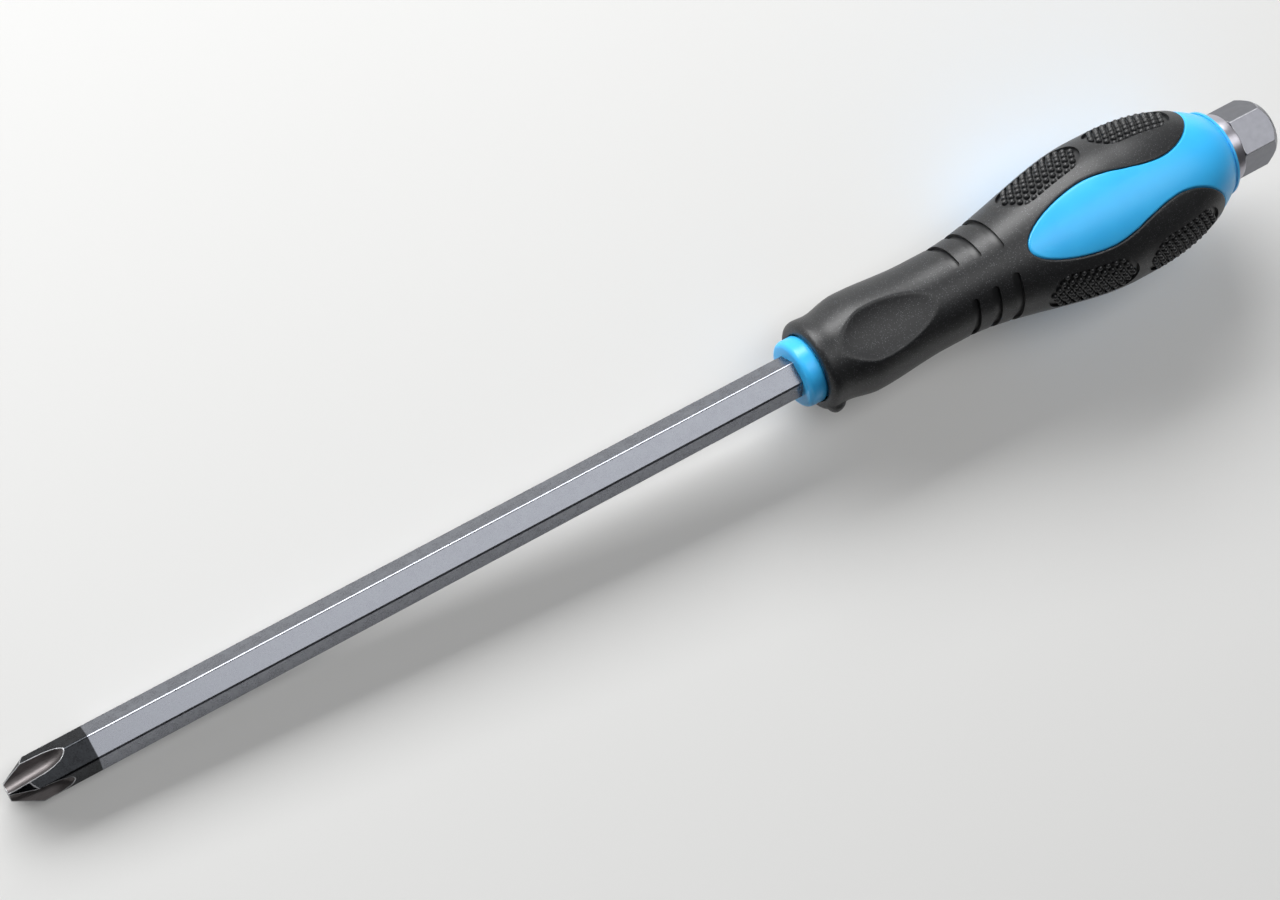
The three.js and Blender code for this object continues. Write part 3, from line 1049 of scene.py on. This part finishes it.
    def build(self) -> None:
        """Wraps the sleeve, shapes it, cuts its pockets, sets the dots and dresses them all."""
        maker = WrappedSkin(
            "soft_grip_black",
            self.profile(),
            lambda x: self.edge.lobe - self.edge.half_angle(x, self.seam_gap),
            self.edge.lobe,
            self.columns,
            self.wall,
        )
        skin = maker.build()
        self.shape(skin, maker.outside(skin))
        skin.coat(SoftBlack().material())
        pockets = self.pockets()
        # the pads' and grooves' floors get a black without the painted glints, which is painted
        # shade in the recesses; their lower bump is a smoother floor
        smooth = SoftBlack("smooth_black_elastomer", "#151618", "#1d1e20", bump=0.08, rough=0.4)
        pockets.coat(smooth.material())
        skin.combine(pockets, Cut.AWAY)
        skin.smooth(self.crisp)
        skin.place("soft_grip", "soft_black")
        dots = self.dots()
        dots.smooth(self.dot_crisp)
        glossy = SoftBlack("dotted_black_elastomer", "#1c1d1f", "#26272a", bump=0.05, rough=0.32)
        dots.coat(glossy.material())
        dots.place("soft_grip", "soft_black")


@dataclass
class CapRing:
    """The turned steel ring between the handle and the cap."""

    radius: float = 9.2
    front: float = 331.4
    rear: float = 336.0
    bore: float = 5.7
    front_round: float = 0.35
    rear_round: float = 0.3
    crisp: float = 35.0

    def build(self) -> None:
        """Turns the ring and dresses it."""
        ahead, behind = self.front_round, self.rear_round
        outline = [(self.rear, self.bore), (self.front, self.bore)]
        outline += arc((self.front + ahead, self.radius - ahead), ahead, 180, 90, 4)
        outline += arc((self.rear - behind, self.radius - behind), behind, 90, 0, 6)
        ring = Workpiece.turned("cap_ring_turned", outline, FINE_STEPS)
        ring.smooth(self.crisp)
        ring.coat(TurnedSteel().material())
        ring.place("cap_ring", "ring_steel")


@dataclass
class StrikingCap:
    """The hexagonal cap that takes the hammer."""

    across_flats: float = 16.0
    wear_and_highlight_edge: float = 0.2
    wear_and_highlight_angle: float = 14.0
    front: float = 336.3
    rear: float = 348.0
    end_length: float = 2.5
    end_bevel: float = 40.0
    end_round: float = 0.8
    front_radius: float = 9.0
    front_bevel: float = 30.0
    crisp: float = 40.0

    def build(self) -> None:
        """Makes the hexagon, turns its ends and dresses it."""
        corner = hex_corner(self.across_flats)
        cap = Workpiece.bar("striking_cap_hex", self.across_flats, self.front, self.rear)
        bevel = (corner - self.front_radius) * math.tan(math.radians(self.front_bevel))
        lean = math.radians(self.end_bevel)
        drop = self.end_length - self.end_round * (1 - math.sin(lean))
        brim = corner - drop * math.tan(lean)
        middle = (self.rear - self.end_round, brim - self.end_round * math.cos(lean))
        outline = [(self.front, 0.0), (self.front, self.front_radius), (self.front + bevel, corner)]
        outline += [(self.rear - self.end_length, corner)]
        outline += arc(middle, self.end_round, 90 - self.end_bevel, 0, 8)
        outline += [(self.rear, 0.0)]
        cap.combine(Workpiece.turned("cap_end", outline, FINE_STEPS), Cut.COMMON)
        cap.coat(CapSteel().material())
        # lighter bevels on the cap's edges: partly wear, partly painted highlights
        wear_and_highlight = WearAndHighlightSteel("worn_cap_edges", "#9a9ba1", "#c4c5ca")
        cap.wear_and_highlight_edges(self.wear_and_highlight_edge, self.wear_and_highlight_angle, wear_and_highlight.material())
        cap.smooth(self.crisp)
        cap.flatten_flats()
        cap.place("striking_cap", "cap_steel")


@dataclass(frozen=True)
class Finish:
    """A finish, as one procedural material on the piece's own coordinates."""

    name: str = "finish"
    dark: str = "#000000"
    light: str = "#ffffff"

    def material(self) -> Material:
        """Makes the material from the finish's pattern, its colour and its other looks.

        Returns:
            The new material.
        """
        made = bpy.data.materials.new(self.name)
        made.use_nodes = True
        tree = made.node_tree
        place = add_node(tree, "TexCoord").outputs["Object"]
        share, looks = self.dress(tree, place)
        looks["Base Color"] = self.colour(tree, place, share)
        set_inputs(tree, tree.nodes["Principled BSDF"], looks)
        return made

    def dress(self, tree: Tree, place: Socket) -> tuple[Socket, dict]:
        """Adds the pattern between the two tones and says what else the shader gets."""
        raise NotImplementedError

    def colour(self, tree: Tree, place: Socket, share: Socket) -> Socket:
        """Blends the finish's two tones.

        Args:
            tree: The material's nodes.
            place: The piece's own coordinates.
            share: How much of the light tone shows.

        Returns:
            The colour.
        """
        tones = {SHARE: share, DARK: linear(self.dark), LIGHT: linear(self.light)}
        return add_node(tree, "Mix", tones, data_type="RGBA").outputs[MIXED]


@dataclass(frozen=True)
class BladeSteel(Finish):
    """Chrome-vanadium bar, drawn and satin plated: a mottled grey sheen, with a dull black end."""

    name: str = "satin_plated_steel_with_burnished_point"
    dark: str = "#7b7d84"
    light: str = "#8c8f96"
    black: str = "#222325"
    black_light: str = "#343639"
    burnished: float = 20.0
    border: float = 0.1
    mottle: float = 2.4
    grain: float = 0.35
    rough: tuple[float, float] = (0.24, 0.34)
    bump: float = 0.25

    def dress(self, tree: Tree, place: Socket) -> tuple[Socket, dict]:
        """Sets a mottled satin metal.

        Args:
            tree: The material's nodes.
            place: The piece's own coordinates.

        Returns:
            How much of the light tone shows, and the shader's other inputs.
        """
        mottle, grain = (
            add_node(tree, "TexNoise", {"Vector": place, "Scale": 1 / (size * MM), "Detail": fine})
            for size, fine in ((self.mottle, 4.0), (self.grain, 2.0))
        )
        layers = {0: mottle.outputs[0], 1: grain.outputs[0]}
        both = add_node(tree, "Math", layers, operation="ADD").outputs[0]
        tone = add_node(tree, "MapRange", {"Value": both, "From Min": 0.75, "From Max": 1.25})
        low, high = self.rough
        limits = {"From Min": 0.7, "From Max": 1.3, "To Min": low, "To Max": high}
        rough = add_node(tree, "MapRange", {"Value": both, **limits})
        relief = {"Height": grain.outputs[0], "Strength": self.bump, "Distance": RELIEF * MM}
        bump = add_node(tree, "Bump", relief)
        looks = {"Metallic": 1.0, "Roughness": rough.outputs[0], "Normal": bump.outputs[0]}
        return tone.outputs[0], looks

    def colour(self, tree: Tree, place: Socket, share: Socket) -> Socket:
        """Turns the steel black in front of one station.

        Args:
            tree: The material's nodes.
            place: The piece's own coordinates.
            share: How much of the light tones shows.

        Returns:
            The colour.
        """
        along = add_node(tree, "SeparateXYZ", {0: place}).outputs["X"]
        front, rear = ((self.burnished + side * self.border) * MM for side in (-1, 1))
        bare = add_node(tree, "MapRange", {"Value": along, "From Min": front, "From Max": rear})
        tones = {SHARE: share, DARK: linear(self.black), LIGHT: linear(self.black_light)}
        dull = add_node(tree, "Mix", tones, data_type="RGBA").outputs[MIXED]
        ends = {SHARE: bare.outputs[0], DARK: dull, LIGHT: super().colour(tree, place, share)}
        return add_node(tree, "Mix", ends, data_type="RGBA").outputs[MIXED]


@dataclass(frozen=True)
class Steel(Finish):
    """Bare steel: a pattern of two greys, and a fine grain where the surface has one."""

    pattern: float = 1.0
    detail: float = 3.0
    stretch: tuple[float, float, float] = (1.0, 1.0, 1.0)
    rough: float = 0.5
    grain: float = 0.3
    bump: float = 0.0

    def dress(self, tree: Tree, place: Socket) -> tuple[Socket, dict]:
        """Sets a metal with its pattern drawn out the way that the piece was worked.

        Args:
            tree: The material's nodes.
            place: The piece's own coordinates.

        Returns:
            How much of the light tone shows, and the shader's other inputs.
        """
        drawn = add_node(tree, "Mapping", {"Vector": place, "Scale": self.stretch}).outputs[0]
        sizes = {"Scale": 1 / (self.pattern * MM), "Detail": self.detail}
        pattern = add_node(tree, "TexNoise", {"Vector": drawn, **sizes})
        looks = {"Metallic": 1.0, "Roughness": self.rough}
        if self.bump:
            sizes = {"Scale": 1 / (self.grain * MM), "Detail": 2.0}
            grain = add_node(tree, "TexNoise", {"Vector": drawn, **sizes}).outputs[0]
            relief = {"Height": grain, "Strength": self.bump, "Distance": RELIEF * MM}
            looks["Normal"] = add_node(tree, "Bump", relief).outputs[0]
        return pattern.outputs[0], looks


@dataclass(frozen=True)
class GroundSteel(Steel):
    """The flutes' walls, ground bright through the black: a brownish grey with fine streaks."""

    name: str = "ground_steel_flutes"
    dark: str = "#585454"
    light: str = "#7d7979"
    pattern: float = 0.3
    stretch: tuple[float, float, float] = (0.15, 1.0, 1.0)


@dataclass(frozen=True)
class WearAndHighlightSteel(Steel):
    """Edges where use has rubbed the finish off the steel, unevenly, and painted highlights along
    every sharp edge: thin bright lines.
    """

    name: str = "worn_bright_edges"
    dark: str = "#8f9093"
    light: str = "#d2d3d6"
    pattern: float = 1.1


@dataclass(frozen=True)
class TurnedSteel(Steel):
    """Turned and tumbled steel: faint rings round the tool under a satin sheen."""

    name: str = "turned_satin_steel"
    dark: str = "#b3b1b8"
    light: str = "#cbc9d2"
    pattern: float = 0.35
    detail: float = 2.0
    stretch: tuple[float, float, float] = (1.0, 0.06, 0.06)
    rough: float = 0.36
    grain: float = 0.35
    bump: float = 0.2


@dataclass(frozen=True)
class CapSteel(Steel):
    """Forged and tumbled steel: an even grey satin with faint clouds."""

    name: str = "tumbled_satin_steel"
    dark: str = "#77787e"
    light: str = "#88898f"
    pattern: float = 1.6
    detail: float = 4.0
    rough: float = 0.3
    bump: float = 0.25


@dataclass(frozen=True)
class BluePlastic(Finish):
    """Hard moulded cellulose acetate, dyed through: a clear cyan blue with a soft gloss."""

    name: str = "moulded_blue_acetate"
    dark: str = "#37b2f8"
    light: str = "#40bdff"
    flow: float = 9.0
    glow: float = 5.0
    rough: tuple[float, float] = (0.27, 0.36)

    def dress(self, tree: Tree, place: Socket) -> tuple[Socket, dict]:
        """Sets a smooth dyed plastic with faint flow marks.

        Args:
            tree: The material's nodes.
            place: The piece's own coordinates.

        Returns:
            How much of the light tone shows, and the shader's other inputs.
        """
        sizes = {"Scale": 1 / (self.flow * MM), "Detail": 2.0}
        flow = add_node(tree, "TexNoise", {"Vector": place, **sizes}).outputs[0]
        low, high = self.rough
        rough = add_node(tree, "MapRange", {"Value": flow, "To Min": low, "To Max": high})
        return flow, {
            "Roughness": rough.outputs[0],
            "IOR": 1.47,
            "Subsurface Weight": 0.2,
            "Subsurface Radius": (0.4, 0.8, 1.0),
            "Subsurface Scale": self.glow * MM,
        }


@dataclass(frozen=True)
class SoftBlack(Finish):
    """Black thermoplastic elastomer from a spark-eroded mould: a fine grain, with painted glints as
    sparse light specks.
    """

    name: str = "moulded_black_elastomer"
    dark: str = "#151618"
    # the light tone is the colour of the painted glints
    light: str = "#707276"
    grain: float = 0.2
    painted_glint_size: float = 0.32
    near: tuple[float, float] = (0.36, 0.12)
    bright: tuple[float, float] = (0.42, 0.85)
    bump: float = 0.5
    relief: float = 0.06
    rough: float = 0.42

    def dress(self, tree: Tree, place: Socket) -> tuple[Socket, dict]:
        """Sets a matt black with a fine grain, and paints sparse light specks into the colour as
        glints.

        The painted glints are drawn coarser than the grain, so that they show at arm's length.

        Args:
            tree: The material's nodes.
            place: The piece's own coordinates.

        Returns:
            How much of the light tone shows, and the shader's other inputs.
        """
        sizes = {"Scale": 1 / (self.grain * MM), "Detail": 3.0}
        grain = add_node(tree, "TexNoise", {"Vector": place, **sizes}).outputs[0]
        # Voronoi cells pick sparse light specks: painted glints, light in the colour whatever the
        # lamps do
        cells = add_node(tree, "TexVoronoi", {"Vector": place, "Scale": 1 / (self.painted_glint_size * MM)})
        near, bright = (
            add_node(tree, "MapRange", {"Value": cells.outputs[name], "From Min": a, "From Max": b})
            for name, (a, b) in (("Distance", self.near), ("Color", self.bright))
        )
        layers = {0: near.outputs[0], 1: bright.outputs[0]}
        painted_glints = add_node(tree, "Math", layers, operation="MULTIPLY")
        relief = {"Height": grain, "Strength": self.bump, "Distance": self.relief * MM}
        bump = add_node(tree, "Bump", relief)
        looks = {"Normal": bump.outputs[0], "Roughness": self.rough, "Specular IOR Level": 0.6}
        return painted_glints.outputs[0], looks


@dataclass
class Lamp:
    """One soft box of the studio, with its long side along the tool."""

    name: str
    place: tuple[float, float, float]
    aim: tuple[float, float, float]
    long: float
    wide: float
    power: float

    def build(self) -> None:
        """Hangs the soft box and turns it to what it lights."""
        data = bpy.data.lights.new(self.name, "AREA")
        data.shape = "RECTANGLE"
        data.size = self.long
        data.size_y = self.wide
        data.energy = self.power
        lamp = bpy.data.objects.new(self.name, data)
        back = (Vector(self.place) - Vector(self.aim)).normalized()
        along = (Vector((1, 0, 0)) - back * back.x).normalized()
        lamp.matrix_world = Matrix((along, back.cross(along), back)).transposed().to_4x4()
        lamp.location = self.place
        lamp.visible_camera = False
        bpy.context.collection.objects.link(lamp)


@dataclass
class Studio:
    """The pale floor that the tool lies on, the soft light and the camera."""

    belly_at: float = 298.5
    belly_radius: float = 20.0
    tip_at: float = 5.5
    tip_radius: float = 4.9
    floor_size: float = 8.0
    floor_colour: str = "#d2d2d1"
    floor_lift: float = 0.2
    far_lift: float = 0.9  # keeps the floor pale where the lamps don't reach
    far_from: float = 0.5
    far_to: float = 1.1
    world_colour: str = "#ffffff"
    world_level: float = 0.06
    lens: float = 73.125
    tilt: float = 17.8
    roll: float = 27.94
    aim: tuple[float, float, float] = (161.6, 1.362, 0.0)
    away: float = 605.0
    lamps: tuple[Lamp, ...] = (
        Lamp("key", (0.10, 0.93, 0.55), (0.20, 0.0, 0.0), 1.6, 0.4, 22.5),
        Lamp("overhead", (0.72, 0.05, 1.30), (0.30, 0.0, 0.0), 1.7, 0.6, 7.0),
    )

    def floor_finish(self) -> Material:
        """Plain matt card that glows a little for the eye and for what the steel mirrors.

        Returns:
            The floor's material, clear from below.
        """
        material = bpy.data.materials.new("pale_floor")
        material.use_nodes = True
        tree = material.node_tree
        shader = tree.nodes["Principled BSDF"]
        colour = linear(self.floor_colour)
        rays = add_node(tree, "LightPath").outputs
        seen = add_node(
            tree, "Math", {0: rays["Is Camera Ray"], 1: rays["Is Glossy Ray"]}, operation="ADD"
        )
        place = add_node(tree, "TexCoord").outputs["Object"]
        away = add_node(tree, "VectorMath", {0: place}, operation="LENGTH")
        reach = {"From Min": self.far_from, "From Max": self.far_to}
        lifts = {"To Min": self.floor_lift, "To Max": self.far_lift}
        pale = add_node(tree, "MapRange", {"Value": away.outputs["Value"], **reach, **lifts})
        lift = add_node(
            tree, "Math", {0: seen.outputs[0], 1: pale.outputs[0]}, operation="MULTIPLY"
        )
        looks = {"Base Color": colour, "Roughness": 0.9, "Specular IOR Level": 0.1}
        glow = {"Emission Color": colour, "Emission Strength": lift.outputs[0]}
        set_inputs(tree, shader, {**looks, **glow})
        below = add_node(tree, "NewGeometry").outputs["Backfacing"]
        clear = add_node(tree, "BsdfTransparent").outputs[0]
        mixed = add_node(tree, "MixShader", {0: below, 1: shader.outputs[0], 2: clear})
        set_inputs(tree, tree.nodes["Material Output"], {"Surface": mixed.outputs[0]})
        return material

    def floor(self) -> None:
        """Lays the floor under the belly and the tip of the tool."""
        run = self.belly_at - self.tip_at
        lean = math.asin((self.belly_radius - self.tip_radius) / run)
        Workpiece.clear_bench()
        bpy.ops.mesh.primitive_plane_add(size=self.floor_size)
        floor = bpy.context.object
        floor.name = "floor"
        floor.location = (self.belly_at * MM, 0, -self.belly_radius / math.cos(lean) * MM)
        floor.rotation_euler = (0, lean, 0)
        floor.data.materials.append(self.floor_finish())

    def light(self) -> None:
        """Sets the even light of the room and hangs the soft boxes."""
        world = bpy.data.worlds.new("studio")
        bpy.context.scene.world = world
        world.use_nodes = True
        tree = world.node_tree
        even = {"Color": linear(self.world_colour), "Strength": self.world_level}
        set_inputs(tree, tree.nodes["Background"], even)
        for lamp in self.lamps:
            lamp.build()

    def camera(self) -> None:
        """Sets the camera at the photograph's viewing angle."""
        tilt, roll = math.radians(self.tilt), math.radians(self.roll)
        back = Vector((-math.sin(tilt), 0, math.cos(tilt)))
        along = Vector((math.cos(tilt), 0, math.sin(tilt)))
        side = Vector((0, 1, 0))
        right = math.cos(roll) * along - math.sin(roll) * side
        up = math.sin(roll) * along + math.cos(roll) * side
        data = bpy.data.cameras.new("photo_camera")
        data.sensor_fit = "HORIZONTAL"
        data.sensor_width = 36.0
        data.lens = self.lens
        data.clip_start = 0.01
        camera = bpy.data.objects.new("photo_camera", data)
        camera.matrix_world = Matrix((right, up, back)).transposed().to_4x4()
        camera.location = (Vector(self.aim) + self.away * back) * MM
        bpy.context.collection.objects.link(camera)
        bpy.context.scene.camera = camera

    def build(self) -> None:
        """Sets up the floor, the light and the camera."""
        self.floor()
        self.light()
        self.camera()
        bpy.context.scene.view_settings.view_transform = "Standard"


def main() -> None:
    """Builds the tool from its point to its cap, then the studio round it."""
    logging.basicConfig(level=logging.INFO, format="%(name)s: %(message)s")
    for part in (Blade(), HandleCore(), SoftGrip(), CapRing(), StrikingCap()):
        part.build()
    Studio().build()


if __name__ == "__main__":
    main()
